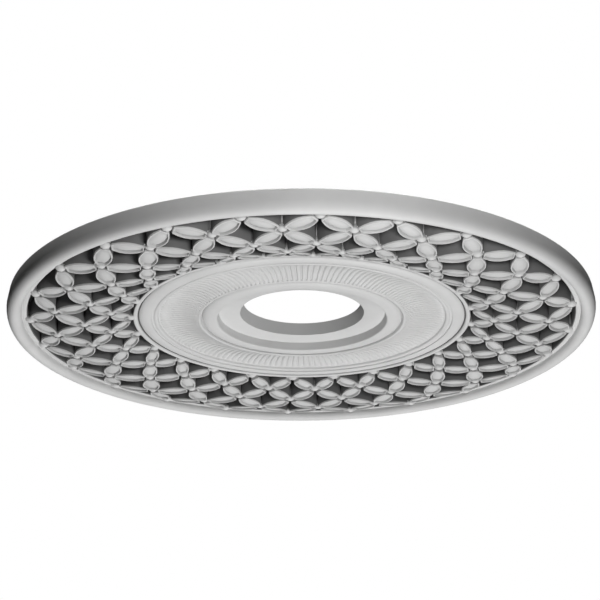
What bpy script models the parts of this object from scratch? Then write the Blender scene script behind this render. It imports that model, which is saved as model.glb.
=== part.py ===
"""Ceiling rose, cast in one piece: a round rim, a band of crossing leaves over blind pockets,
a plain ring, a reeded dish and an inner moulding round the hole for the lamp's fixing.

It is modelled as it hangs: its flat back lies on the ceiling at height zero, with the origin on its
axis there, and its carved face looks down. Heights are given as drops below the ceiling.
"""
import math

import bmesh
import bpy
from mathutils import Matrix, Vector

MM = 0.001

# Pattern: repeats of the leaf band round the rose, and the reeds in half a repeat
REPEATS = 24
REEDS_PER_HALF = 3
LEAF_STEPS = 3

# Hole for the lamp's fixing, and the flat seat for its canopy
HOLE_RADIUS = 72.5 * MM
HOLE_FLARE = 4.2 * MM
SEAT_WIDTH = 25.8 * MM
SEAT_DROP = 15.2 * MM

# Rounded moulding round the seat
SEAT_WALL_SLOPE = 2.1 * MM
INNER_MOULDING_WIDTH = 18.4 * MM
INNER_MOULDING_DROP = 25.2 * MM
INNER_MOULDING_ARRIS = 1.6 * MM
INNER_MOULDING_ROUND = 9.5 * MM
INNER_GROOVE_DROP = 21.6 * MM
SMALL_ROUND_STEPS = 2

# Reeded dish with a narrow collar on its inner edge and a flat bead on its outer edge
COLLAR_SLOPE = 1.8 * MM
COLLAR_WIDTH = 3.4 * MM
COLLAR_DROP = 24.7 * MM
DISH_WIDTH = 49.2 * MM
DISH_DEPTH = 4.4 * MM
REED_DEPTH = 1.3 * MM
REED_RUN_IN = 12.3 * MM
REED_RUN_OUT = 11.3 * MM
BEAD_WIDTH = 5.0 * MM
BEAD_DROP = 24.9 * MM
BEAD_GROOVE_WIDTH = 2.6 * MM
BEAD_GROOVE_DEPTH = 1.6 * MM

# Plain ring inside the leaf band
RING_FACE_WIDTH = 8.0 * MM
RING_DROP = 25.7 * MM
RING_ROUND_WIDTH = 7.8 * MM
RING_GROOVE_DROP = 22.2 * MM
INNER_LIP_SLOPE = 2.0 * MM
INNER_LIP_WIDTH = 4.8 * MM
INNER_LIP_DROP = 25.1 * MM

# Leaf band: the gaps between its rows of knuckles, from the inner lip to the outer lip
INNER_LIP_TO_ROW = 2.2 * MM
ROW_GAPS = (26.3 * MM, 30.4 * MM, 36.7 * MM, 28.6 * MM)
OUTER_ROW_TO_LIP = 3.2 * MM
BAND_DROP = 36.4 * MM
BAND_CREST_FROM_LIP = 71.4 * MM
BAND_CURVE_RADIUS = 231.0 * MM
LEAF_PLUMPNESS = 0.43
LEAF_RISE = 1.4 * MM
KNUCKLE_RADIUS = 4.5 * MM
KNUCKLE_RISE = 2.4 * MM
POCKET_FLOOR_DROP = 10.4 * MM

# Outer lip and round rim
OUTER_LIP_WIDTH = 6.4 * MM
OUTER_LIP_DROP = 26.4 * MM
OUTER_LIP_FALL = 2.4 * MM
RIM_SLOPE_WIDTH = 2.7 * MM
RIM_SLOPE_HEIGHT = 4.6 * MM
RIM_SHOULDER_WIDTH = 6.8 * MM
RIM_SHOULDER_ROUND = 0.7 * MM
RIM_DROP = 37.2 * MM
RIM_ROUND_WIDTH = 9.4 * MM
RIM_ROUND_HEIGHT = 13.5 * MM
RIM_ROUND_STEPS = 3
RIM_TAPER = 2.0 * MM
BACK_BEVEL_WIDTH = 27.0 * MM
BACK_BEVEL_HEIGHT = 9.8 * MM

# Painted surface
PAINT_COLOUR = (0.76, 0.76, 0.75, 1.0)
PAINT_ROUGHNESS = 0.6
SHARP_ANGLE = math.radians(25.0)

# Largest distance at which two corners count as one
WELD_DISTANCE = 0.001 * MM

# Angles and radii that follow from the sizes
HALF_ANGLE = math.pi / REPEATS
SEAT_INNER = HOLE_RADIUS + HOLE_FLARE
SEAT_OUTER = SEAT_INNER + SEAT_WIDTH
MOULDING_INNER = SEAT_OUTER + SEAT_WALL_SLOPE
MOULDING_OUTER = MOULDING_INNER + INNER_MOULDING_WIDTH
COLLAR_INNER = MOULDING_OUTER + COLLAR_SLOPE
DISH_INNER = COLLAR_INNER + COLLAR_WIDTH
DISH_OUTER = DISH_INNER + DISH_WIDTH
BEAD_OUTER = DISH_OUTER + BEAD_WIDTH
RING_INNER = BEAD_OUTER + BEAD_GROOVE_WIDTH
RING_FACE_OUTER = RING_INNER + RING_FACE_WIDTH
RING_OUTER = RING_FACE_OUTER + RING_ROUND_WIDTH
INNER_LIP_INNER = RING_OUTER + INNER_LIP_SLOPE
INNER_LIP_OUTER = INNER_LIP_INNER + INNER_LIP_WIDTH
FIRST_ROW = INNER_LIP_OUTER + INNER_LIP_TO_ROW
ROWS = [FIRST_ROW + sum(ROW_GAPS[:count]) for count in range(len(ROW_GAPS) + 1)][::-1]
OUTER_LIP_INNER = ROWS[0] + OUTER_ROW_TO_LIP
OUTER_LIP_OUTER = OUTER_LIP_INNER + OUTER_LIP_WIDTH
RIM_SLOPE_TOP = OUTER_LIP_OUTER + RIM_SLOPE_WIDTH
RIM_CREST = RIM_SLOPE_TOP + RIM_SHOULDER_WIDTH
OUTER_RADIUS = RIM_CREST + RIM_ROUND_WIDTH
BACK_EDGE = OUTER_RADIUS - RIM_TAPER
BAND_CREST = INNER_LIP_OUTER + BAND_CREST_FROM_LIP


def point(radius, angle, drop):
    """Returns a place from its distance to the axis, its angle and its drop below the ceiling."""
    return Vector((radius * math.cos(angle), radius * math.sin(angle), -drop))


def band_drop(radius):
    """Returns the drop of the gently arched leaf band at a radius."""
    return BAND_DROP - (radius - BAND_CREST) ** 2 / (2.0 * BAND_CURVE_RADIUS)


def lowered(place, drop):
    """Returns a place moved to another drop."""
    return Vector((place.x, place.y, -drop))


def quarter_round(crest_radius, crest_drop, width, height, steps):
    """Returns the profile points of a quarter round from its crest out to its foot."""
    turns = [step / steps * math.pi / 2.0 for step in range(steps + 1)]
    across = [crest_radius + width * math.sin(turn) for turn in turns]
    drops = [crest_drop - height * (1.0 - math.cos(turn)) for turn in turns]
    return list(zip(across, drops))


def rim_to_dish_profile():
    """Returns the turned profile from the outer lip over the rim, along the back, to the dish."""
    lip = [(OUTER_LIP_OUTER, OUTER_LIP_DROP + OUTER_LIP_FALL)]
    slope = [(RIM_SLOPE_TOP, OUTER_LIP_DROP + OUTER_LIP_FALL + RIM_SLOPE_HEIGHT)]
    shoulder = [(RIM_CREST - RIM_SHOULDER_WIDTH / 2.0, RIM_DROP - RIM_SHOULDER_ROUND)]
    crest = quarter_round(RIM_CREST, RIM_DROP, RIM_ROUND_WIDTH, RIM_ROUND_HEIGHT, RIM_ROUND_STEPS)
    back = [(BACK_EDGE, BACK_BEVEL_HEIGHT), (BACK_EDGE - BACK_BEVEL_WIDTH, 0.0), (HOLE_RADIUS, 0.0)]
    seat = [(SEAT_INNER, SEAT_DROP), (SEAT_OUTER, SEAT_DROP)]
    arris = [(MOULDING_INNER, INNER_MOULDING_DROP - INNER_MOULDING_ARRIS)]
    moulding = [(MOULDING_INNER + INNER_MOULDING_ARRIS, INNER_MOULDING_DROP)]
    round_start = MOULDING_OUTER - INNER_MOULDING_ROUND
    round_height = INNER_MOULDING_DROP - INNER_GROOVE_DROP
    moulding += quarter_round(
        round_start, INNER_MOULDING_DROP, INNER_MOULDING_ROUND, round_height, SMALL_ROUND_STEPS
    )
    collar = [(COLLAR_INNER, COLLAR_DROP), (DISH_INNER, COLLAR_DROP)]
    return lip + slope + shoulder + crest + back + seat + arris + moulding + collar


def dish_to_lip_profile():
    """Returns the turned profile from the dish's outer edge over the bead and ring to the inner lip."""
    bead = [(DISH_OUTER, BEAD_DROP), (BEAD_OUTER, BEAD_DROP)]
    groove = [(BEAD_OUTER + BEAD_GROOVE_WIDTH / 2.0, BEAD_DROP - BEAD_GROOVE_DEPTH)]
    ring = [(RING_INNER, RING_DROP)]
    round_height = RING_DROP - RING_GROOVE_DROP
    ring += quarter_round(RING_FACE_OUTER, RING_DROP, RING_ROUND_WIDTH, round_height, SMALL_ROUND_STEPS)
    return bead + groove + ring + [(INNER_LIP_INNER, INNER_LIP_DROP)]


def turned_strip(bm, profile, steps):
    """Turns a profile about the axis through half a repeat."""
    verts = [bm.verts.new(point(radius, 0.0, drop)) for radius, drop in profile]
    edges = [bm.edges.new(pair) for pair in zip(verts, verts[1:])]
    bmesh.ops.spin(
        bm,
        geom=verts + edges,
        cent=(0.0, 0.0, 0.0),
        axis=(0.0, 0.0, 1.0),
        dvec=(0.0, 0.0, 0.0),
        angle=HALF_ANGLE,
        steps=steps,
    )


def face(bm, places):
    """Adds one piece of the surface between places given in order."""
    return bm.faces.new([bm.verts.new(place) for place in places])


def strip(bm, first_row, second_row):
    """Joins two rows of places with a strip of four-sided faces."""
    for start in range(len(first_row) - 1):
        face(bm, [first_row[start], first_row[start + 1], second_row[start + 1], second_row[start]])


def dish_station(radius, edge_drop):
    """Returns the places across half a repeat of the dish, a reed's crest and groove in turn."""
    steps = 2 * REEDS_PER_HALF
    places = []
    for step in range(steps + 1):
        groove = REED_DEPTH if step % 2 else 0.0
        drop = edge_drop - DISH_DEPTH - groove
        places.append(point(radius, HALF_ANGLE * step / steps, drop))
    return places


def reeded_dish(bm):
    """Adds the dish: reeds across its hollow, running out at the collar and at the bead."""
    inner = dish_station(DISH_INNER + REED_RUN_IN, COLLAR_DROP)
    outer = dish_station(DISH_OUTER - REED_RUN_OUT, BEAD_DROP)
    strip(bm, inner, outer)
    collar_edge = [point(DISH_INNER, angle, COLLAR_DROP) for angle in (HALF_ANGLE, 0.0)]
    bead_edge = [point(DISH_OUTER, angle, BEAD_DROP) for angle in (HALF_ANGLE, 0.0)]
    return [face(bm, inner + collar_edge), face(bm, outer + bead_edge)]


class Knuckle:
    """A junction of the leaves: its centre and the four pocket corners round it."""

    def __init__(self, row):
        radius = ROWS[row]
        angle = HALF_ANGLE if row % 2 else 0.0
        turn = -KNUCKLE_RADIUS / radius if row % 2 else KNUCKLE_RADIUS / radius
        side_angle = angle + turn
        self.centre = point(radius, angle, band_drop(radius) + KNUCKLE_RISE)
        self.outer = point(radius + KNUCKLE_RADIUS, angle, band_drop(radius + KNUCKLE_RADIUS))
        self.inner = point(radius - KNUCKLE_RADIUS, angle, band_drop(radius - KNUCKLE_RADIUS))
        self.side = point(radius, side_angle, band_drop(radius))
        if row == 0:
            self.side = point(OUTER_LIP_INNER, side_angle, OUTER_LIP_DROP)
        if row == len(ROWS) - 1:
            self.side = point(INNER_LIP_OUTER, side_angle, INNER_LIP_DROP)


def leaf_side(start, end, axis, outward):
    """Returns the places along one curved side of a leaf, bulging away from its axis."""
    across = Vector((-axis.y, axis.x, 0.0)).normalized()
    if across.dot(Vector((start.x, start.y, 0.0))) * outward < 0.0:
        across = -across
    bulge = axis.length * LEAF_PLUMPNESS / 2.0 - KNUCKLE_RADIUS * math.sqrt(0.5)
    places = []
    for step in range(LEAF_STEPS + 1):
        share = step / LEAF_STEPS
        place = start.lerp(end, share) + across * bulge * 4.0 * share * (1.0 - share)
        if 0 < step < LEAF_STEPS:
            place = lowered(place, band_drop(place.xy.length))
        places.append(place)
    return places


def leaf(bm, near, far):
    """Adds one leaf with a raised middle between two knuckles, and returns its two sides."""
    axis = far.centre - near.centre
    axis.z = 0.0
    outer_side = leaf_side(near.side, far.outer, axis, 1.0)
    inner_side = leaf_side(near.inner, far.side, axis, -1.0)
    middle = []
    for step in range(LEAF_STEPS + 1):
        place = near.centre.lerp(far.centre, step / LEAF_STEPS)
        if 0 < step < LEAF_STEPS:
            place = lowered(place, band_drop(place.xy.length) + LEAF_RISE)
        middle.append(place)
    strip(bm, outer_side, middle)
    strip(bm, middle, inner_side)
    return outer_side, inner_side


def pocket(bm, rim):
    """Sinks one half pocket behind the band: upright walls along its rim and a flat floor."""
    floor = [lowered(place, POCKET_FLOOR_DROP) for place in rim]
    strip(bm, rim, floor)
    face(bm, floor)


def lip_join(bm, knuckle, near, far):
    """Joins an end row of knuckles to its lip, given as the radius and drop of its two edges."""
    root = point(near[0], 0.0, near[1])
    end = point(near[0], HALF_ANGLE, near[1])
    face(bm, [root, knuckle.side, knuckle.centre])
    far_edge = [point(far[0], HALF_ANGLE, far[1]), point(far[0], 0.0, far[1])]
    lip_face = face(bm, [root, knuckle.side, end] + far_edge)
    return end, lip_face


def leaf_band(bm):
    """Adds half a repeat of the leaf band: leaves, knuckles, pockets and the lips at both edges."""
    knuckles = [Knuckle(row) for row in range(len(ROWS))]
    sides = [leaf(bm, near, far) for near, far in zip(knuckles, knuckles[1:])]
    outer_edges = (OUTER_LIP_INNER, OUTER_LIP_DROP), (OUTER_LIP_OUTER, OUTER_LIP_DROP + OUTER_LIP_FALL)
    inner_edges = (INNER_LIP_OUTER, INNER_LIP_DROP), (INNER_LIP_INNER, INNER_LIP_DROP)
    outer_end, outer_lip = lip_join(bm, knuckles[0], *outer_edges)
    inner_end, inner_lip = lip_join(bm, knuckles[-1], *inner_edges)
    pocket(bm, [outer_end] + sides[0][0])
    for (_, inner_side), (outer_side, _) in zip(sides, sides[1:]):
        pocket(bm, inner_side + outer_side[1:])
    pocket(bm, sides[-1][1] + [inner_end])
    return [outer_lip, inner_lip]


def whole_rose():
    """Returns the closed mesh: half a repeat, mirrored, then repeated round the axis."""
    bm = bmesh.new()
    turned_strip(bm, rim_to_dish_profile(), 1)
    turned_strip(bm, dish_to_lip_profile(), 1)
    many_sided = reeded_dish(bm) + leaf_band(bm)
    bmesh.ops.triangulate(bm, faces=many_sided)
    bmesh.ops.remove_doubles(bm, verts=bm.verts, dist=WELD_DISTANCE)
    half = bm.verts[:] + bm.edges[:] + bm.faces[:]
    bmesh.ops.mirror(bm, geom=half, matrix=Matrix(), merge_dist=0.0, axis="Y")
    bmesh.ops.spin(
        bm,
        geom=bm.verts[:] + bm.edges[:] + bm.faces[:],
        cent=(0.0, 0.0, 0.0),
        axis=(0.0, 0.0, 1.0),
        dvec=(0.0, 0.0, 0.0),
        angle=2.0 * math.pi * (REPEATS - 1) / REPEATS,
        steps=REPEATS - 1,
        use_duplicate=True,
    )
    bmesh.ops.remove_doubles(bm, verts=bm.verts, dist=WELD_DISTANCE)
    bmesh.ops.recalc_face_normals(bm, faces=bm.faces)
    mesh = bpy.data.meshes.new("ceiling_rose")
    bm.to_mesh(mesh)
    bm.free()
    mesh.shade_smooth()
    mesh.set_sharp_from_angle(angle=SHARP_ANGLE)
    return mesh


def painted_moulding():
    """Returns the matte off-white paint of the casting."""
    material = bpy.data.materials.new("painted_moulding")
    material.use_nodes = True
    shader = material.node_tree.nodes["Principled BSDF"]
    shader.inputs["Base Color"].default_value = PAINT_COLOUR
    shader.inputs["Roughness"].default_value = PAINT_ROUGHNESS
    shader.inputs["Metallic"].default_value = 0.0
    return material


for old_object in list(bpy.data.objects):
    bpy.data.objects.remove(old_object)
rose = bpy.data.objects.new("ceiling_rose", whole_rose())
rose.data.materials.append(painted_moulding())
bpy.context.scene.collection.objects.link(rose)
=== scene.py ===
"""Ceiling rose add-on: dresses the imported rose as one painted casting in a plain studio.

The rose hangs at height zero with its flat back on the ceiling and its carved face looking down.
Heights on it are given as drops below the ceiling, and all sizes are in metres.
"""

import math

import bmesh
import bpy
from bpy.props import FloatProperty, FloatVectorProperty, IntProperty, PointerProperty
from mathutils import Matrix, Vector


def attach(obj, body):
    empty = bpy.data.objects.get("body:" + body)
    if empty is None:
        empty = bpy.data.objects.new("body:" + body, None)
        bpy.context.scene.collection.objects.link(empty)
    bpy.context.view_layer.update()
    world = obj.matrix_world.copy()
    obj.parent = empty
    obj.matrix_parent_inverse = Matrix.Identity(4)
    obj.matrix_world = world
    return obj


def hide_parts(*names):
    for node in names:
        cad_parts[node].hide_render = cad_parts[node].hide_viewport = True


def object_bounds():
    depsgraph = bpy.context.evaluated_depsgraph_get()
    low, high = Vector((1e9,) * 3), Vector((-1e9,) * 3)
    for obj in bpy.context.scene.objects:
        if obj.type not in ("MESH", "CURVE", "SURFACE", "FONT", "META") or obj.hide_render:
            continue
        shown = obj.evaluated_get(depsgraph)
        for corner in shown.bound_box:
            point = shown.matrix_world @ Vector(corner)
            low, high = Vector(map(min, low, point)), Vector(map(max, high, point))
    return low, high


bl_info = {
    "name": "Ceiling Rose",
    "version": (1, 0, 0),
    "blender": (4, 5, 0),
    "location": "View3D > Sidebar > Ceiling Rose",
    "description": "Builds a cast ceiling rose with crossing leaves, its paint and its studio",
    "category": "Object",
}

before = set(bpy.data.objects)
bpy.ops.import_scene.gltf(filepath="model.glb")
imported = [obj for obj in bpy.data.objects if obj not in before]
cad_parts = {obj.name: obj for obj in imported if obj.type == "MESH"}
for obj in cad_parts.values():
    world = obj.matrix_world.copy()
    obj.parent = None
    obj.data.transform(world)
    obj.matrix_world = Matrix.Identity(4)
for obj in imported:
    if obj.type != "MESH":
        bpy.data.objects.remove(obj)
CAD_LOW, CAD_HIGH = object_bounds()

MM = 0.001
NODE = "ceiling_rose"
BODY = "root"

# Order of the materials on the casting: one paint three times, each with its own strength of
# painted shade in the recesses
CASTING, LEAVES, KNUCKLES = range(3)

# Steps of the turned profile's rounds, of the dish's floor and of the turn itself
SMALL_STEPS, EDGE_STEPS, ROUND_STEPS, SHOULDER_STEPS, RIM_STEPS = 3, 4, 7, 8, 10
FLOOR_STEPS = 10
TURN_STEPS = 144

# Steps of a reed, lengthwise and sideways, and faces of a knuckle, round it and over it
REED_STEPS = 8, 4
KNUCKLE_STEPS = 12, 8

# Outline of a leaf in millimetres: distance from its side or its end step, and height
LEAF_OUTLINE = ((0.0, 1.0), (0.4, 1.6), (1.5, 1.6), (1.9, 0.2), (2.5, -1.5))

# Distances from a leaf's end in millimetres: its end step, and the mesh's rows near the end
LEAF_END_STEP = 4.3
LEAF_END_ROWS = (0.0, 4.1, 4.3, 4.9, 5.6, 6.1, 6.7)

# Steps of a leaf's middle, lengthwise and sideways, and columns of the mesh from side to side
LEAF_MIDDLE_STEPS = 5
LEAF_PAD_STEPS = 5
LEAF_COLUMNS = 2 * len(LEAF_OUTLINE) + LEAF_PAD_STEPS - 1

# How far the leaves, knuckles and posts reach into the pockets' floor
SINK = 1.0 * MM

# Angle between two faces from which their edge is shaded as sharp
SHARP_ANGLE = math.radians(38.0)


def length(name, millimetres, description):
    """Returns a size property in metres with its default given in millimetres."""
    return FloatProperty(
        name=name,
        description=description,
        default=millimetres * MM,
        precision=5,
        subtype="DISTANCE",
        unit="LENGTH",
    )


def factor(name, value, description):
    """Returns a property for a share between nought and one."""
    return FloatProperty(
        name=name, description=description, default=value, min=0.0, max=1.0, subtype="FACTOR"
    )


def rotation(name, radians, description):
    """Returns an angle property."""
    return FloatProperty(name=name, description=description, default=radians, unit="ROTATION")


def power(name, watts, description):
    """Returns a property for a light's power."""
    return FloatProperty(name=name, description=description, default=watts, unit="POWER")


def position(name, metres, description):
    """Returns a place property, for a place before the pattern's turn."""
    return FloatVectorProperty(
        name=name,
        description=description,
        default=metres,
        size=3,
        subtype="XYZ_LENGTH",
        unit="LENGTH",
    )


class RimSettings(bpy.types.PropertyGroup):
    """Sizes of the round rim and of the lip inside it."""

    outer_radius: length("Outer radius", CAD_HIGH.x / MM, "Radius of the rim at its widest")
    crest_radius: length("Crest radius", 350.9, "Radius of the rim's lowest line")
    crest_drop: length("Crest drop", 37.2, "Drop of the rim's lowest line")
    round_height: length("Round height", 13.5, "Height of the rim's outer round")
    taper: length("Taper", 2.0, "How far the rim's wall draws in towards the ceiling")
    bevel_width: length("Back bevel width", 27.0, "Width of the bevel behind the rim")
    bevel_height: length("Back bevel height", 9.8, "Height of the bevel behind the rim")
    bevel_round: length("Back edge round", 1.8, "Height of the round on the rim's back edge")
    lip_radius: length("Lip radius", 335.0, "Radius of the outer lip's inner edge")
    lip_width: length("Lip width", 6.6, "Width of the outer lip")
    lip_drop: length("Lip drop", 26.2, "Drop of the outer lip's inner edge")
    lip_crest_drop: length("Lip crest drop", 28.9, "Drop of the outer lip's lowest line")
    lip_groove_drop: length("Lip groove drop", 28.0, "Drop of the groove inside the rim")


class CentreSettings(bpy.types.PropertyGroup):
    """Sizes of the hole, its flat seat and the moulding round them."""

    hole_radius: length("Hole radius", 72.5, "Radius of the hole at the ceiling")
    hole_flare: length("Hole flare", 4.2, "How much wider the hole is at the seat")
    arris: length("Soft edge", 0.6, "Size of the softened edges")
    seat_radius: length("Seat radius", 102.4, "Radius of the seat's outer edge")
    seat_drop: length("Seat drop", 15.2, "Drop of the flat seat")
    wall_slope: length("Wall slope", 1.9, "How far the seat's wall leans outward")
    wall_drop: length("Wall drop", 23.3, "Drop of the top of the seat's wall")
    moulding_drop: length("Moulding drop", 25.2, "Drop of the inner moulding's face")
    moulding_edge: length("Moulding edge", 2.2, "Width of the inner moulding's inner round")
    moulding_face: length("Moulding face", 6.8, "Width of the inner moulding's face")
    moulding_round: length("Moulding round", 9.8, "Width of the inner moulding's outer round")
    groove_drop: length("Groove drop", 20.4, "Drop of the groove outside the inner moulding")


class DishSettings(bpy.types.PropertyGroup):
    """Sizes of the reeded dish, its collar and its bead."""

    collar_radius: length("Collar radius", 124.4, "Radius of the collar's inner edge")
    collar_width: length("Collar width", 4.0, "Width of the collar")
    collar_drop: length("Collar drop", 24.8, "Drop of the collar's crest")
    inner_radius: length("Dish inner radius", 128.4, "Radius at which the dish starts")
    outer_radius: length("Dish outer radius", 177.4, "Radius at which the dish ends")
    edge_drop: length("Dish edge drop", 24.2, "Drop of the reeds at both edges of the dish")
    depth: length("Dish depth", 4.7, "Depth of the dish at its middle")
    reeds: IntProperty(
        name="Reeds", description="Number of reeds round the dish", default=144, min=3
    )
    reed_margin: length("Reed margin", 2.2, "Distance from a reed's end to the dish's edge")
    reed_overlap: length("Reed overlap", 2.4, "How far a reed runs into the collar")
    reed_rise: length("Reed rise", 1.6, "Height of a reed above the dish's floor")
    reed_gap: length("Reed gap", 0.5, "Width of the groove between two reeds")
    bead_width: length("Bead width", 5.0, "Width of the bead outside the dish")
    bead_drop: length("Bead drop", 25.0, "Drop of the bead's crest")
    bead_groove_drop: length("Bead groove drop", 23.9, "Drop of the groove outside the bead")


class RingSettings(bpy.types.PropertyGroup):
    """Sizes of the plain ring and of the lip outside it."""

    inner_radius: length("Ring inner radius", 185.0, "Radius of the plain ring's inner edge")
    face_radius: length("Ring face radius", 191.5, "Radius at which the plain ring's round starts")
    outer_radius: length("Ring outer radius", 200.8, "Radius of the groove outside the plain ring")
    drop: length("Ring drop", 25.7, "Drop of the plain ring's face")
    groove_drop: length("Ring groove drop", 20.9, "Drop of the groove outside the plain ring")
    lip_slope: length("Lip slope", 1.4, "Width of the slope from the groove to the inner lip")
    lip_radius: length("Inner lip radius", 207.6, "Radius of the inner lip's outer edge")
    lip_drop: length("Inner lip drop", 25.3, "Drop of the inner lip's crest")


class LeafBandSettings(bpy.types.PropertyGroup):
    """Sizes of the band of crossing leaves and of its pockets."""

    repeats: IntProperty(
        name="Repeats", description="Repeats of the pattern round the rose", default=24, min=3
    )
    row_radii: FloatVectorProperty(
        name="Row radii",
        description="Radius of each row of knuckles, from the outer lip to the inner lip",
        default=(331.8 * MM, 303.2 * MM, 266.5 * MM, 236.1 * MM, 209.8 * MM),
        size=5,
        unit="LENGTH",
    )
    crest_radius: length("Band crest radius", 279.0, "Radius of the arched band's lowest line")
    crest_drop: length("Band crest drop", 36.4, "Drop of the arched band's lowest line")
    curve_radius: length("Band curve radius", 231.0, "Radius of the band's arch")
    plumpness: factor("Leaf plumpness", 0.43, "Width of a leaf as a share of its length")
    corner: length("Pocket corner", 3.3, "Distance from a knuckle's centre to a pocket's corner")
    leaf_crown: length("Leaf crown", 1.9, "Height of a leaf's middle above its groove")
    leaf_dip: length("Leaf dip", 0.9, "How far a leaf's ends bend back towards the ceiling")
    leaf_notch: length("Leaf notch", 2.4, "Depth of the notch between a leaf and a knuckle")
    knuckle_radius: length("Knuckle radius", 6.6, "Radius of a knuckle")
    knuckle_height: length("Knuckle height", 6.0, "Half the height of a knuckle")
    knuckle_rise: length("Knuckle rise", 1.5, "How far a knuckle stands below the band")
    outer_knuckle_rise: length("Outer knuckle rise", 3.2, "How far an outermost knuckle stands out")
    post_radius: length("Post radius", 5.3, "Radius of the post behind a knuckle")
    pocket_drop: length("Pocket drop", 10.4, "Drop of the pockets' floor")
    pocket_draft: length("Pocket draft", 0.8, "How far a pocket narrows towards its floor")


class PaintSettings(bpy.types.PropertyGroup):
    """Colour and finish of the paint, and the shade painted into its pockets, grooves and knuckles.
    """

    colour: FloatVectorProperty(
        name="Colour",
        description="Colour of the paint on the casting",
        default=(0.55, 0.55, 0.547),
        size=3,
        min=0.0,
        max=1.0,
        subtype="COLOR",
    )
    roughness: factor("Roughness", 0.62, "Roughness of the paint")
    recess_shade: factor("Recess shade", 0.74, "How much darker the pockets are")
    recess_reach: length("Recess reach", 0.8, "Depth in the band at which pockets are darkest")
    knuckle_shade: factor("Knuckle shade", 0.5, "How much darker the knuckles are in the pockets")
    knuckle_reach: length("Knuckle reach", 2.6, "Depth in the band at which knuckles are darkest")
    groove_shade: factor("Groove shade", 0.2, "How much darker the leaves' grooves are")
    groove_reach: length("Groove reach", 1.3, "Distance from the band over which grooves darken")
    mottle: factor("Mottle", 0.05, "Strength of the paint's unevenness")
    mottle_scale: FloatProperty(
        name="Mottle scale", description="Scale of the paint's unevenness", default=14.0
    )
    grain: length("Grain", 0.05, "Height of the casting's fine grain")
    grain_scale: FloatProperty(
        name="Grain scale", description="Scale of the casting's fine grain", default=900.0
    )


class StudioSettings(bpy.types.PropertyGroup):
    """The camera, the lights and the floor."""

    camera_place: position("Camera place", (0.0532, -2.3896, -0.9495), "Place of the camera")
    camera_pitch: rotation("Camera pitch", 0.37904, "How far the camera looks up")
    camera_roll: rotation("Camera roll", 0.01156, "How far the camera leans")
    camera_lens: FloatProperty(
        name="Camera lens", description="Focal length in millimetres", default=124.665
    )
    camera_sensor: FloatProperty(
        name="Camera sensor", description="Width of the sensor in millimetres", default=36.0
    )
    camera_shift: FloatProperty(
        name="Camera shift", description="Sideways shift of the frame", default=-0.075
    )
    pattern_turn: rotation(
        "Pattern turn", math.radians(4.749), "Angle of the pattern's first junction in the view"
    )
    floor_height: length("Floor height", -2400.0, "Height of the studio floor")
    floor_reach: length("Floor reach", 12000.0, "Distance from the floor's middle to its sides")
    floor_glow: FloatProperty(
        name="Floor glow", description="Brightness that the floor shows to the camera", default=0.6
    )
    side_place: position("Side light place", (0.18, -0.95, -0.27), "Place of the low side light")
    side_width: length("Side light width", 250.0, "Width of the low side light")
    side_height: length("Side light height", 120.0, "Height of the low side light")
    side_power: power("Side light power", 4.0, "Power of the low side light")
    under_place: position("Under light place", (0.3, 0.6, -2.2), "Place of the light below")
    under_width: length("Under light width", 900.0, "Width of the light under the rose")
    under_power: power("Under light power", 51.0, "Power of the light under the rose")
    back_place: position("Back light place", (0.0, 0.0, 2.0), "Place of the light for the back")
    back_width: length("Back light width", 1000.0, "Width of the back light")
    back_spread: rotation("Back light spread", math.radians(60.0), "Beam of the back light")
    back_power: power("Back light power", 9.0, "Power of the back light")
    fill: FloatProperty(
        name="Fill", description="Strength of the even light from all round", default=0.03
    )


def place(radius, angle, drop):
    """Returns a point from its distance to the axis, its angle and its drop below the ceiling."""
    return Vector((radius * math.cos(angle), radius * math.sin(angle), -drop))


def quarter(crest, foot, steps):
    """Returns the profile points of a quarter round, level at its crest and upright at its foot."""
    points = []
    for step in range(steps + 1):
        turn = step / steps * math.pi / 2.0
        radius = crest[0] + (foot[0] - crest[0]) * math.sin(turn)
        drop = crest[1] + (foot[1] - crest[1]) * (1.0 - math.cos(turn))
        points.append((radius, drop))
    return points


def rib(crest, inner_foot, outer_foot, inner_steps=SMALL_STEPS):
    """Returns the profile points of a rounded rib, over its crest from foot to foot."""
    inner = quarter(crest, inner_foot, inner_steps)[::-1]
    return inner + quarter(crest, outer_foot, SMALL_STEPS)[1:]


def dish_drop(dish, radius):
    """Returns the drop of the reeds' crests at a radius of the dish."""
    middle = (dish.inner_radius + dish.outer_radius) / 2.0
    half = (dish.outer_radius - dish.inner_radius) / 2.0
    return dish.edge_drop - dish.depth * (1.0 - ((radius - middle) / half) ** 2)


def band_drop(band, radius):
    """Returns the drop of the gently arched leaf band at a radius."""
    return band.crest_drop - (radius - band.crest_radius) ** 2 / (2.0 * band.curve_radius)


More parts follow.
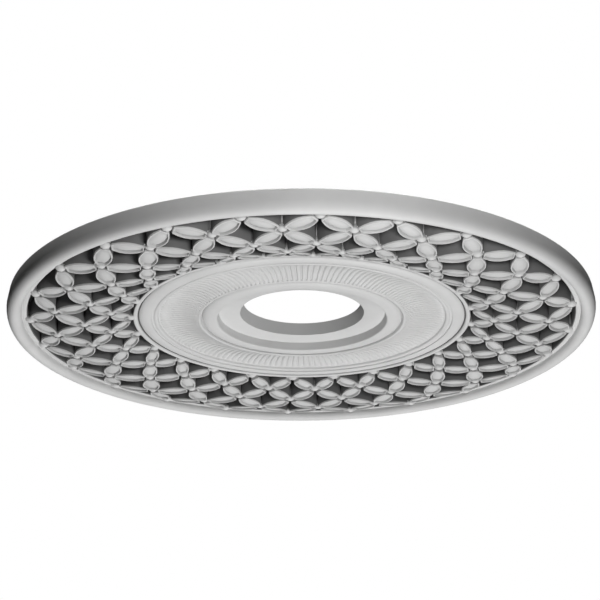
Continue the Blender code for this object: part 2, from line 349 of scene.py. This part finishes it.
def rim_profile(rim):
    """Returns the profile of the outer lip and the rim, from the pockets to the back."""
    crest_share, crest_fall = 0.55, 0.1 * MM
    foot_width, foot_height = 0.3 * MM, 0.4 * MM
    edge_width = 1.2 * MM
    lip_crest = rim.lip_radius + rim.lip_width * crest_share
    groove = (rim.lip_radius + rim.lip_width, rim.lip_groove_drop)
    lip_foot = (rim.lip_radius, rim.lip_drop)
    lip = quarter((lip_crest, rim.lip_crest_drop), lip_foot, EDGE_STEPS)[::-1]
    lip += [((lip_crest + groove[0]) / 2.0, rim.lip_crest_drop - crest_fall), groove]
    crest = (rim.crest_radius, rim.crest_drop)
    inner_foot = (groove[0] + foot_width, rim.lip_groove_drop + foot_height)
    outer_foot = (rim.outer_radius, rim.crest_drop - rim.round_height)
    shoulder = quarter(crest, inner_foot, SHOULDER_STEPS)[::-1]
    outer = quarter(crest, outer_foot, RIM_STEPS)[1:]
    back_radius = rim.outer_radius - rim.taper
    edge_crest = (back_radius - edge_width, rim.bevel_height)
    edge_foot = (back_radius, rim.bevel_height + rim.bevel_round)
    edge = quarter(edge_crest, edge_foot, SMALL_STEPS)[::-1]
    return lip + shoulder + outer + edge + [(back_radius - rim.bevel_width, 0.0)]


def centre_profile(centre):
    """Returns the profile of the hole, the seat and the inner moulding."""
    seat_inner = centre.hole_radius + centre.hole_flare
    hole_edge = (seat_inner - centre.arris / 2.0, centre.seat_drop - centre.arris)
    hole = [(centre.hole_radius, 0.0), hole_edge]
    seat = [(seat_inner + centre.arris, centre.seat_drop), (centre.seat_radius, centre.seat_drop)]
    wall_top = centre.seat_radius + centre.wall_slope
    face = wall_top + centre.moulding_edge
    edge = quarter((face, centre.moulding_drop), (wall_top, centre.wall_drop), EDGE_STEPS)[::-1]
    round_start = (face + centre.moulding_face, centre.moulding_drop)
    foot = (round_start[0] + centre.moulding_round, centre.groove_drop)
    return hole + seat + edge + quarter(round_start, foot, ROUND_STEPS)


def dish_profile(dish):
    """Returns the profile of the collar, the dish's floor and the bead."""
    collar_share, bead_share = 0.45, 0.5
    collar_inner_height, collar_outer_height, bead_inner_height = 2.2 * MM, 1.8 * MM, 1.4 * MM
    collar_overlap, bead_overlap, floor_margin = 0.6 * MM, 0.3 * MM, 1.0 * MM
    collar = rib(
        (dish.collar_radius + dish.collar_width * collar_share, dish.collar_drop),
        (dish.collar_radius, dish.collar_drop - collar_inner_height),
        (dish.inner_radius + collar_overlap, dish.collar_drop - collar_outer_height),
        EDGE_STEPS,
    )
    start = dish.inner_radius + floor_margin
    stop = dish.outer_radius - floor_margin
    floor = []
    for step in range(FLOOR_STEPS + 1):
        radius = start + (stop - start) * step / FLOOR_STEPS
        floor.append((radius, dish_drop(dish, radius) - dish.reed_rise))
    bead = rib(
        (dish.outer_radius + dish.bead_width * bead_share, dish.bead_drop),
        (dish.outer_radius - bead_overlap, dish.bead_drop - bead_inner_height),
        (dish.outer_radius + dish.bead_width, dish.bead_groove_drop),
    )
    return collar + floor + bead


def ring_profile(ring, band):
    """Returns the profile of the plain ring and the inner lip, down to the pockets."""
    edge_width, edge_height = 1.2 * MM, 1.8 * MM
    lip_inner_height, lip_outer_height = 1.6 * MM, 1.2 * MM
    edge = (ring.inner_radius + edge_width, ring.drop)
    face = quarter(edge, (ring.inner_radius, ring.drop - edge_height), SMALL_STEPS)[::-1]
    groove = (ring.outer_radius, ring.groove_drop)
    face += quarter((ring.face_radius, ring.drop), groove, ROUND_STEPS)
    lip_start = ring.outer_radius + ring.lip_slope
    lip = rib(
        ((lip_start + ring.lip_radius) / 2.0, ring.lip_drop),
        (lip_start, ring.lip_drop - lip_inner_height),
        (ring.lip_radius, ring.lip_drop - lip_outer_height),
    )
    return face + lip + [(ring.lip_radius, band.pocket_drop)]


def turned_body(bm, rose):
    """Turns the closed profile of the casting, with an open trough where the leaves stand."""
    profile = [(rose.rim.lip_radius, rose.band.pocket_drop)]
    profile += rim_profile(rose.rim) + centre_profile(rose.centre)
    profile += dish_profile(rose.dish) + ring_profile(rose.ring, rose.band)
    verts = [bm.verts.new(place(radius, 0.0, drop)) for radius, drop in profile]
    edges = [bm.edges.new(pair) for pair in zip(verts, verts[1:] + verts[:1])]
    bmesh.ops.spin(
        bm,
        geom=verts + edges,
        cent=(0.0, 0.0, 0.0),
        axis=(0.0, 0.0, 1.0),
        angle=2.0 * math.pi,
        steps=TURN_STEPS,
        use_merge=True,
    )


def elements(bm):
    """Returns all vertices, edges and faces."""
    return [*bm.verts, *bm.edges, *bm.faces]


def repeat_round(bm, geom, copies):
    """Repeats a piece round the axis."""
    bmesh.ops.spin(
        bm,
        geom=geom,
        cent=(0.0, 0.0, 0.0),
        axis=(0.0, 0.0, 1.0),
        angle=2.0 * math.pi * (copies - 1) / copies,
        steps=copies - 1,
        use_duplicate=True,
    )


def sunk_shell(bm, verts, middle, bottom, draft):
    """Closes a shaped sheet with sides that reach into the casting, and with a flat end."""
    edges = dict.fromkeys(edge for vert in verts for edge in vert.link_edges)
    outline = [edge for edge in edges if edge.is_boundary]
    walls = bmesh.ops.extrude_edge_only(bm, edges=outline)["geom"]
    for vert in (item for item in walls if isinstance(item, bmesh.types.BMVert)):
        outward = vert.co.xy - middle(vert.co)
        if outward.length > 0.0:
            outward.normalize()
        vert.co.x += outward.x * draft
        vert.co.y += outward.y * draft
        vert.co.z = -bottom
    rim = [item for item in walls if isinstance(item, bmesh.types.BMEdge) and item.is_boundary]
    bmesh.ops.edgeloop_fill(bm, edges=rim)


def reed(bm, dish):
    """Adds one reed: a rounded bar across the dish with rounded ends."""
    along, across = REED_STEPS
    least_width, least_height = 0.25, 0.15
    start = dish.inner_radius - dish.reed_overlap
    stop = dish.outer_radius - dish.reed_margin
    middle, reach = (start + stop) / 2.0, (stop - start) / 2.0
    grid = bmesh.ops.create_grid(bm, x_segments=along, y_segments=across, size=1.0)["verts"]
    for vert in grid:
        lengthwise, side = vert.co.x, vert.co.y
        radius = middle + reach * math.sin(lengthwise * math.pi / 2.0)
        half_width = radius * math.pi / dish.reeds - dish.reed_gap / 2.0
        end_distance = min(radius - start, stop - radius)
        narrowing = math.sqrt(1.0 - max(0.0, 1.0 - end_distance / half_width) ** 2)
        y = side * half_width * max(least_width, narrowing)
        height = dish.reed_rise * (1.0 - side**4) * max(least_height, narrowing)
        vert.co = Vector((radius, y, dish.reed_rise - height - dish_drop(dish, radius)))
    bottom = dish.edge_drop - 2.0 * dish.depth
    sunk_shell(bm, grid, lambda co: Vector((co.x, 0.0)), bottom, 0.0)


class Junction:
    """A meeting of leaves: its centre and the corners of the pockets round it."""

    def __init__(self, band, row):
        """Places the junction of a row in the first repeat."""
        half_angle = math.pi / band.repeats
        self.radius = band.row_radii[row]
        self.angle = half_angle if row % 2 else 0.0
        turn = band.corner / self.radius
        side_angle = self.angle - turn if row % 2 else self.angle + turn
        self.centre = place(self.radius, self.angle, 0.0)
        self.outer = place(self.radius + band.corner, self.angle, 0.0)
        self.inner = place(self.radius - band.corner, self.angle, 0.0)
        self.side = place(self.radius, side_angle, 0.0)


def leaf_stations(clear):
    """Returns the distances of the mesh's rows from a leaf's end, over its clear length."""
    ends = [distance * MM for distance in LEAF_END_ROWS]
    first, middle = ends[-1], clear - 2.0 * ends[-1]
    inner = [first + middle * step / LEAF_MIDDLE_STEPS for step in range(1, LEAF_MIDDLE_STEPS)]
    return ends + inner + [clear - distance for distance in ends[::-1]]


def leaf_side_distance(column, width):
    """Returns the distance of a column of the mesh from a leaf's outer side."""
    edges = [distance * MM for distance, _ in LEAF_OUTLINE]
    if column < len(edges):
        return edges[column]
    if column >= LEAF_COLUMNS - len(edges):
        return width - edges[LEAF_COLUMNS - 1 - column]
    turn = ((column - len(edges) + 1) / LEAF_PAD_STEPS - 0.5) * math.pi
    return width / 2.0 + (width / 2.0 - edges[-1]) * math.sin(turn)


def leaf_height(band, side, end, crown):
    """Returns a leaf's height: notched ends, a raised outline, a groove and a crown."""
    if end < LEAF_END_STEP * MM:
        return -band.leaf_notch
    distance = min(side, end - LEAF_END_STEP * MM)
    for (near, low), (far, high) in zip(LEAF_OUTLINE, LEAF_OUTLINE[1:]):
        if distance <= far * MM:
            share = max(0.0, (distance - near * MM) / ((far - near) * MM))
            return (low + (high - low) * share) * MM
    return LEAF_OUTLINE[-1][1] * MM + band.leaf_crown * crown


def leaf(bm, band, row):
    """Adds the leaf between a row of knuckles and the next row inward."""
    near = Junction(band, row)
    far = Junction(band, row + 1)
    axis = far.centre - near.centre
    across = Vector((-axis.y, axis.x, 0.0)).normalized()
    if across.dot(near.centre) < 0.0:
        across = -across
    chord = band.corner * math.sqrt(0.5)
    clear = axis.length - 2.0 * chord
    bulge = axis.length * band.plumpness / 2.0 - chord
    stations = leaf_stations(clear)
    rows, columns = len(stations) - 1, LEAF_COLUMNS - 1
    outline_width = LEAF_OUTLINE[-1][0] * MM
    grid = bmesh.ops.create_grid(bm, x_segments=rows, y_segments=columns, size=1.0)["verts"]
    for vert in grid:
        station = stations[round((vert.co.x + 1.0) / 2.0 * rows)]
        share = station / clear
        bow = across * bulge * 4.0 * share * (1.0 - share)
        outer_side = near.side.lerp(far.outer, share) + bow
        inner_side = near.inner.lerp(far.side, share) - bow
        width = (outer_side - inner_side).length
        from_side = leaf_side_distance(round((vert.co.y + 1.0) / 2.0 * columns), width)
        co = outer_side.lerp(inner_side, from_side / width)
        lengthwise = 1.0 - (2.0 * share - 1.0) ** 2
        sideways = (2.0 * from_side / width - 1.0) / (1.0 - 2.0 * outline_width / width)
        crown = math.sqrt(max(0.0, lengthwise) * max(0.0, 1.0 - sideways**2))
        side, end = min(from_side, width - from_side), min(station, clear - station)
        height = leaf_height(band, side, end, crown)
        height -= band.leaf_dip * abs(2.0 * share - 1.0) ** 3
        co.z = -band_drop(band, co.xy.length) - height
        vert.co = co
    start, direction = near.centre.xy, axis.xy.normalized()
    sunk_shell(
        bm,
        grid,
        lambda co: start + direction * (co.xy - start).dot(direction),
        band.pocket_drop - SINK,
        band.pocket_draft,
    )
    # The leaf's top takes the leaves' paint with its light painted shade in the grooves; its sides
    # take the casting's paint with the strong painted shade of the pockets
    top = set(grid)
    for face in {face for vert in grid for face in vert.link_faces}:
        face.material_index = LEAVES if all(vert in top for vert in face.verts) else CASTING


def knuckle(bm, band, row):
    """Adds one knuckle with the post behind it."""
    segments, rings = KNUCKLE_STEPS
    junction = Junction(band, row)
    rise = band.knuckle_rise if row else band.outer_knuckle_rise
    middle_drop = band_drop(band, junction.radius) + rise - band.knuckle_height
    centre = place(junction.radius, junction.angle, middle_drop)
    size = Matrix.Diagonal((band.knuckle_radius, band.knuckle_radius, band.knuckle_height, 1.0))
    ball = bmesh.ops.create_uvsphere(
        bm,
        u_segments=segments,
        v_segments=rings,
        radius=1.0,
        matrix=Matrix.Translation(centre) @ size,
    )["verts"]
    bottom = band.pocket_drop - SINK
    post_centre = place(junction.radius, junction.angle, (bottom + middle_drop) / 2.0)
    post = bmesh.ops.create_cone(
        bm,
        cap_ends=True,
        segments=segments,
        radius1=band.post_radius,
        radius2=band.post_radius + band.pocket_draft,
        depth=middle_drop - bottom,
        matrix=Matrix.Translation(post_centre),
    )["verts"]
    # The knuckle takes its own painted shade; the post takes the leaves' lighter painted shade, so
    # it shows lighter than the pocket walls
    for verts, material_index in ((ball, KNUCKLES), (post, LEAVES)):
        for face in {face for vert in verts for face in vert.link_faces}:
            face.material_index = material_index


def leaf_band(bm, band):
    """Adds one repeat of the band of leaves and repeats it round the rose."""
    old = set(elements(bm))
    rows = len(band.row_radii)
    for row in range(rows - 1):
        leaf(bm, band, row)
    leaves = [item for item in elements(bm) if item not in old]
    bmesh.ops.mirror(bm, geom=leaves, matrix=Matrix(), merge_dist=-1.0, axis="Y")
    for row in range(rows):
        knuckle(bm, band, row)
    repeat_round(bm, [item for item in elements(bm) if item not in old], band.repeats)


def reeds(bm, dish):
    """Adds the reeds round the dish."""
    old = set(elements(bm))
    reed(bm, dish)
    repeat_round(bm, [item for item in elements(bm) if item not in old], dish.reeds)


def casting_mesh(rose):
    """Returns the finished mesh of the casting."""
    bm = bmesh.new()
    turned_body(bm, rose)
    reeds(bm, rose.dish)
    leaf_band(bm, rose.band)
    bmesh.ops.recalc_face_normals(bm, faces=bm.faces)
    if not all(edge.is_manifold for edge in bm.edges):
        raise RuntimeError("The casting is not closed")
    mesh = bpy.data.meshes.new("ceiling_rose_casting")
    bm.to_mesh(mesh)
    bm.free()
    mesh.shade_smooth()
    mesh.set_sharp_from_angle(angle=SHARP_ANGLE)
    return mesh


def uneven_paint_group():
    """Returns the node group that gives paint its faint mottle and its fine grain."""
    detail, roughness = 5.0, 0.6
    group = bpy.data.node_groups.new("uneven_paint", "ShaderNodeTree")
    group.interface.new_socket("Coordinates", in_out="INPUT", socket_type="NodeSocketVector")
    for name in ("Mottle Scale", "Grain Scale"):
        group.interface.new_socket(name, in_out="INPUT", socket_type="NodeSocketFloat")
    for name in ("Mottle", "Grain"):
        group.interface.new_socket(name, in_out="OUTPUT", socket_type="NodeSocketFloat")
    nodes, links = group.nodes, group.links
    inputs = nodes.new("NodeGroupInput")
    outputs = nodes.new("NodeGroupOutput")
    for scale, result in (("Mottle Scale", "Mottle"), ("Grain Scale", "Grain")):
        noise = nodes.new("ShaderNodeTexNoise")
        noise.inputs["Detail"].default_value = detail
        noise.inputs["Roughness"].default_value = roughness
        links.new(inputs.outputs["Coordinates"], noise.inputs["Vector"])
        links.new(inputs.outputs[scale], noise.inputs["Scale"])
        links.new(noise.outputs["Fac"], outputs.inputs[result])
    return group


def paint_material(name, colour, roughness, mottle, grain, mottle_scale, grain_scale):
    """Returns a matte painted finish with a faint mottle and a fine grain."""
    mottle_range = 0.35, 0.65
    roughness_spread, grain_strength, specular = 0.05, 0.5, 0.3
    material = bpy.data.materials.new(name)
    material.use_nodes = True
    nodes, links = material.node_tree.nodes, material.node_tree.links
    shader = nodes["Principled BSDF"]
    shader.inputs["Specular IOR Level"].default_value = specular
    coordinates = nodes.new("ShaderNodeTexCoord")
    uneven = nodes.new("ShaderNodeGroup")
    uneven.node_tree = bpy.data.node_groups.get("uneven_paint") or uneven_paint_group()
    uneven.inputs["Mottle Scale"].default_value = mottle_scale
    uneven.inputs["Grain Scale"].default_value = grain_scale
    links.new(coordinates.outputs["Object"], uneven.inputs["Coordinates"])
    tint = nodes.new("ShaderNodeValToRGB")
    shares = 1.0 - mottle, 1.0 + mottle / 2.0
    for stop, ramp_position, share in zip(tint.color_ramp.elements, mottle_range, shares):
        stop.position = ramp_position
        stop.color = [min(1.0, value * share) for value in colour] + [1.0]
    links.new(uneven.outputs["Mottle"], tint.inputs["Fac"])
    links.new(tint.outputs["Color"], shader.inputs["Base Color"])
    gloss = nodes.new("ShaderNodeMapRange")
    gloss.inputs["To Min"].default_value = roughness - roughness_spread
    gloss.inputs["To Max"].default_value = roughness + roughness_spread
    links.new(uneven.outputs["Grain"], gloss.inputs["Value"])
    links.new(gloss.outputs["Result"], shader.inputs["Roughness"])
    bump = nodes.new("ShaderNodeBump")
    bump.inputs["Strength"].default_value = grain_strength
    bump.inputs["Distance"].default_value = grain
    links.new(uneven.outputs["Grain"], bump.inputs["Height"])
    links.new(bump.outputs["Normal"], shader.inputs["Normal"])
    return material


def math_node(tree, operation, *values):
    """Adds a math node on sockets and numbers, and returns the socket of its result."""
    node = tree.nodes.new("ShaderNodeMath")
    node.operation = operation
    for socket, value in zip(node.inputs, values):
        if isinstance(value, (int, float)):
            socket.default_value = value
        else:
            tree.links.new(value, socket)
    return node.outputs["Value"]


def shade_recesses(material, rose, strength, start, end):
    """Darkens the paint between two depths into the band of leaves, where shade gathers."""
    margin = 1.0 * MM
    tree = material.node_tree
    nodes, links = tree.nodes, tree.links
    band = rose.band
    coordinates = nodes["Texture Coordinate"].outputs["Object"]
    axes = nodes.new("ShaderNodeSeparateXYZ")
    links.new(coordinates, axes.inputs["Vector"])
    flat = nodes.new("ShaderNodeVectorMath")
    flat.operation = "MULTIPLY"
    flat.inputs[1].default_value = (1.0, 1.0, 0.0)
    links.new(coordinates, flat.inputs[0])
    reach = nodes.new("ShaderNodeVectorMath")
    reach.operation = "LENGTH"
    links.new(flat.outputs["Vector"], reach.inputs[0])
    radius, height = reach.outputs["Value"], axes.outputs["Z"]
    offset = math_node(tree, "SUBTRACT", radius, band.crest_radius)
    squared = math_node(tree, "MULTIPLY", offset, offset)
    arch = math_node(tree, "DIVIDE", squared, 2.0 * band.curve_radius)
    surface = math_node(tree, "SUBTRACT", band.crest_drop, arch)
    depth = math_node(tree, "ADD", surface, height)
    ramp = nodes.new("ShaderNodeMapRange")
    ramp.interpolation_type = "SMOOTHSTEP"
    ramp.inputs["From Min"].default_value = start
    ramp.inputs["From Max"].default_value = end
    ramp.inputs["To Max"].default_value = strength
    links.new(depth, ramp.inputs["Value"])
    inside_lip = math_node(tree, "LESS_THAN", radius, rose.rim.lip_radius + margin)
    off_the_back = math_node(tree, "LESS_THAN", height, margin - band.pocket_drop)
    inside = math_node(tree, "MULTIPLY", inside_lip, off_the_back)
    shade = math_node(tree, "MULTIPLY", ramp.outputs["Result"], inside)
    share = math_node(tree, "SUBTRACT", 1.0, shade)
    shaded = nodes.new("ShaderNodeVectorMath")
    shaded.operation = "SCALE"
    links.new(nodes["Color Ramp"].outputs["Color"], shaded.inputs[0])
    links.new(share, shaded.inputs["Scale"])
    links.new(shaded.outputs["Vector"], nodes["Principled BSDF"].inputs["Base Color"])


class ROSE_OT_casting(bpy.types.Operator):
    """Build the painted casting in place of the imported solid"""

    bl_idname = "ceiling_rose.casting"
    bl_label = "Build Casting"

    def execute(self, context):
        rose = context.scene.ceiling_rose
        piece = bpy.data.objects.new("ceiling_rose_casting", casting_mesh(rose))
        context.scene.collection.objects.link(piece)
        paint = rose.paint
        # The same paint three times, each darkened by painted shade with its own strength and
        # depths
        shades = (
            ("painted_casting", paint.recess_shade, 0.0, paint.recess_reach),
            ("painted_leaves", paint.groove_shade, -paint.groove_reach, paint.groove_reach),
            ("painted_knuckles", paint.knuckle_shade, 0.0, paint.knuckle_reach),
        )
        for name, strength, start, end in shades:
            material = paint_material(
                name,
                colour=paint.colour,
                roughness=paint.roughness,
                mottle=paint.mottle,
                grain=paint.grain,
                mottle_scale=paint.mottle_scale,
                grain_scale=paint.grain_scale,
            )
            shade_recesses(material, rose, strength, start, end)
            piece.data.materials.append(material)
        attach(piece, BODY)
        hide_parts(NODE)
        return {"FINISHED"}


class ROSE_OT_studio(bpy.types.Operator):
    """Set up the floor, the lights and the camera"""

    bl_idname = "ceiling_rose.studio"
    bl_label = "Set Up Studio"

    def execute(self, context):
        studio = context.scene.ceiling_rose.studio
        self.make_floor(context, studio)
        self.make_world(context, studio)
        self.make_lights(context, studio)
        self.make_camera(context, studio)
        return {"FINISHED"}

    def make_floor(self, context, studio):
        """Lays a pale floor far below the rose."""
        bm = bmesh.new()
        bmesh.ops.create_grid(bm, x_segments=1, y_segments=1, size=studio.floor_reach)
        bmesh.ops.translate(bm, vec=(0.0, 0.0, studio.floor_height), verts=bm.verts)
        mesh = bpy.data.meshes.new("studio_floor")
        bm.to_mesh(mesh)
        bm.free()
        floor = bpy.data.objects.new("studio_floor", mesh)
        context.scene.collection.objects.link(floor)
        material = paint_material(
            "pale_floor",
            colour=(0.8, 0.8, 0.8),
            roughness=0.8,
            mottle=0.02,
            grain=0.2 * MM,
            mottle_scale=2.0,
            grain_scale=60.0,
        )
        tree = material.node_tree
        nodes, links = tree.nodes, tree.links
        shader = nodes["Principled BSDF"]
        seen = nodes.new("ShaderNodeLightPath").outputs["Is Camera Ray"]
        glow = math_node(tree, "MULTIPLY", seen, studio.floor_glow)
        links.new(glow, shader.inputs["Emission Strength"])
        links.new(nodes["Color Ramp"].outputs["Color"], shader.inputs["Emission Color"])
        mesh.materials.append(material)

    def make_world(self, context, studio):
        """Gives a white background to the camera and a faint even light to the rose."""
        world = bpy.data.worlds.new("studio")
        world.use_nodes = True
        context.scene.world = world
        nodes, links = world.node_tree.nodes, world.node_tree.links
        fill, seen = nodes["Background"], nodes.new("ShaderNodeBackground")
        for background, strength in ((fill, studio.fill), (seen, 1.0)):
            background.inputs["Color"].default_value = (1.0, 1.0, 1.0, 1.0)
            background.inputs["Strength"].default_value = strength
        path = nodes.new("ShaderNodeLightPath")
        mix = nodes.new("ShaderNodeMixShader")
        links.new(path.outputs["Is Camera Ray"], mix.inputs["Fac"])
        links.new(fill.outputs["Background"], mix.inputs[1])
        links.new(seen.outputs["Background"], mix.inputs[2])
        links.new(mix.outputs["Shader"], nodes["World Output"].inputs["Surface"])

    def make_lights(self, context, studio):
        """Hangs a low side light, a soft light under the rose and a light for its back."""
        side = self.area_light(
            context, "side_light", studio.side_place, studio.side_width, studio.side_power
        )
        side.shape = "RECTANGLE"
        side.size_y = studio.side_height
        self.area_light(
            context, "under_light", studio.under_place, studio.under_width, studio.under_power
        )
        back = self.area_light(
            context, "back_light", studio.back_place, studio.back_width, studio.back_power
        )
        back.spread = studio.back_spread

    def area_light(self, context, name, place_before_turn, width, watts):
        """Adds a square soft light that points at the rose, and returns its data."""
        turn = Matrix.Rotation(-context.scene.ceiling_rose.studio.pattern_turn, 4, "Z")
        location = turn @ Vector(place_before_turn)
        data = bpy.data.lights.new(name, "AREA")
        data.size = width
        data.energy = watts
        light = bpy.data.objects.new(name, data)
        light.location = location
        light.rotation_euler = (-location).to_track_quat("-Z", "Y").to_euler()
        light.visible_camera = False
        context.scene.collection.objects.link(light)
        return data

    def make_camera(self, context, studio):
        """Places the camera where the photograph was taken from, below and before the rose."""
        data = bpy.data.cameras.new("camera")
        data.sensor_width = studio.camera_sensor
        data.lens = studio.camera_lens
        data.shift_x = studio.camera_shift
        camera = bpy.data.objects.new("camera", data)
        context.scene.collection.objects.link(camera)
        upright = Matrix.Rotation(math.pi / 2.0 + studio.camera_pitch, 4, "X")
        lean = Matrix.Rotation(-studio.camera_roll, 4, "Z")
        turn = Matrix.Rotation(-studio.pattern_turn, 4, "Z")
        camera.matrix_world = turn @ Matrix.Translation(studio.camera_place) @ upright @ lean
        context.scene.camera = camera


class RoseSettings(bpy.types.PropertyGroup):
    """All settings of the ceiling rose."""

    rim: PointerProperty(type=RimSettings, name="Rim")
    centre: PointerProperty(type=CentreSettings, name="Centre")
    dish: PointerProperty(type=DishSettings, name="Dish")
    ring: PointerProperty(type=RingSettings, name="Ring")
    band: PointerProperty(type=LeafBandSettings, name="Leaf band")
    paint: PointerProperty(type=PaintSettings, name="Paint")
    studio: PointerProperty(type=StudioSettings, name="Studio")


class ROSE_PT_panel(bpy.types.Panel):
    """Lists the steps that build the ceiling rose."""

    bl_idname = "ROSE_PT_panel"
    bl_label = "Ceiling Rose"
    bl_space_type = "VIEW_3D"
    bl_region_type = "UI"
    bl_category = "Ceiling Rose"

    def draw(self, context):
        for operator in OPERATORS:
            self.layout.operator(operator.bl_idname)
        paint = context.scene.ceiling_rose.paint
        self.layout.prop(paint, "colour")
        self.layout.prop(paint, "roughness")


OPERATORS = (ROSE_OT_casting, ROSE_OT_studio)
SETTINGS = (
    RimSettings,
    CentreSettings,
    DishSettings,
    RingSettings,
    LeafBandSettings,
    PaintSettings,
    StudioSettings,
    RoseSettings,
)
CLASSES = SETTINGS + OPERATORS + (ROSE_PT_panel,)


def register():
    """Adds the add-on's classes and its settings."""
    for cls in CLASSES:
        bpy.utils.register_class(cls)
    bpy.types.Scene.ceiling_rose = PointerProperty(type=RoseSettings)


def unregister():
    """Takes away the add-on's settings and its classes."""
    del bpy.types.Scene.ceiling_rose
    for cls in reversed(CLASSES):
        bpy.utils.unregister_class(cls)


def main():
    """Builds the rose and its studio."""
    register()
    bpy.context.scene.view_settings.view_transform = "Standard"
    bpy.ops.ceiling_rose.casting()
    bpy.ops.ceiling_rose.studio()


if __name__ == "__main__":
    main()
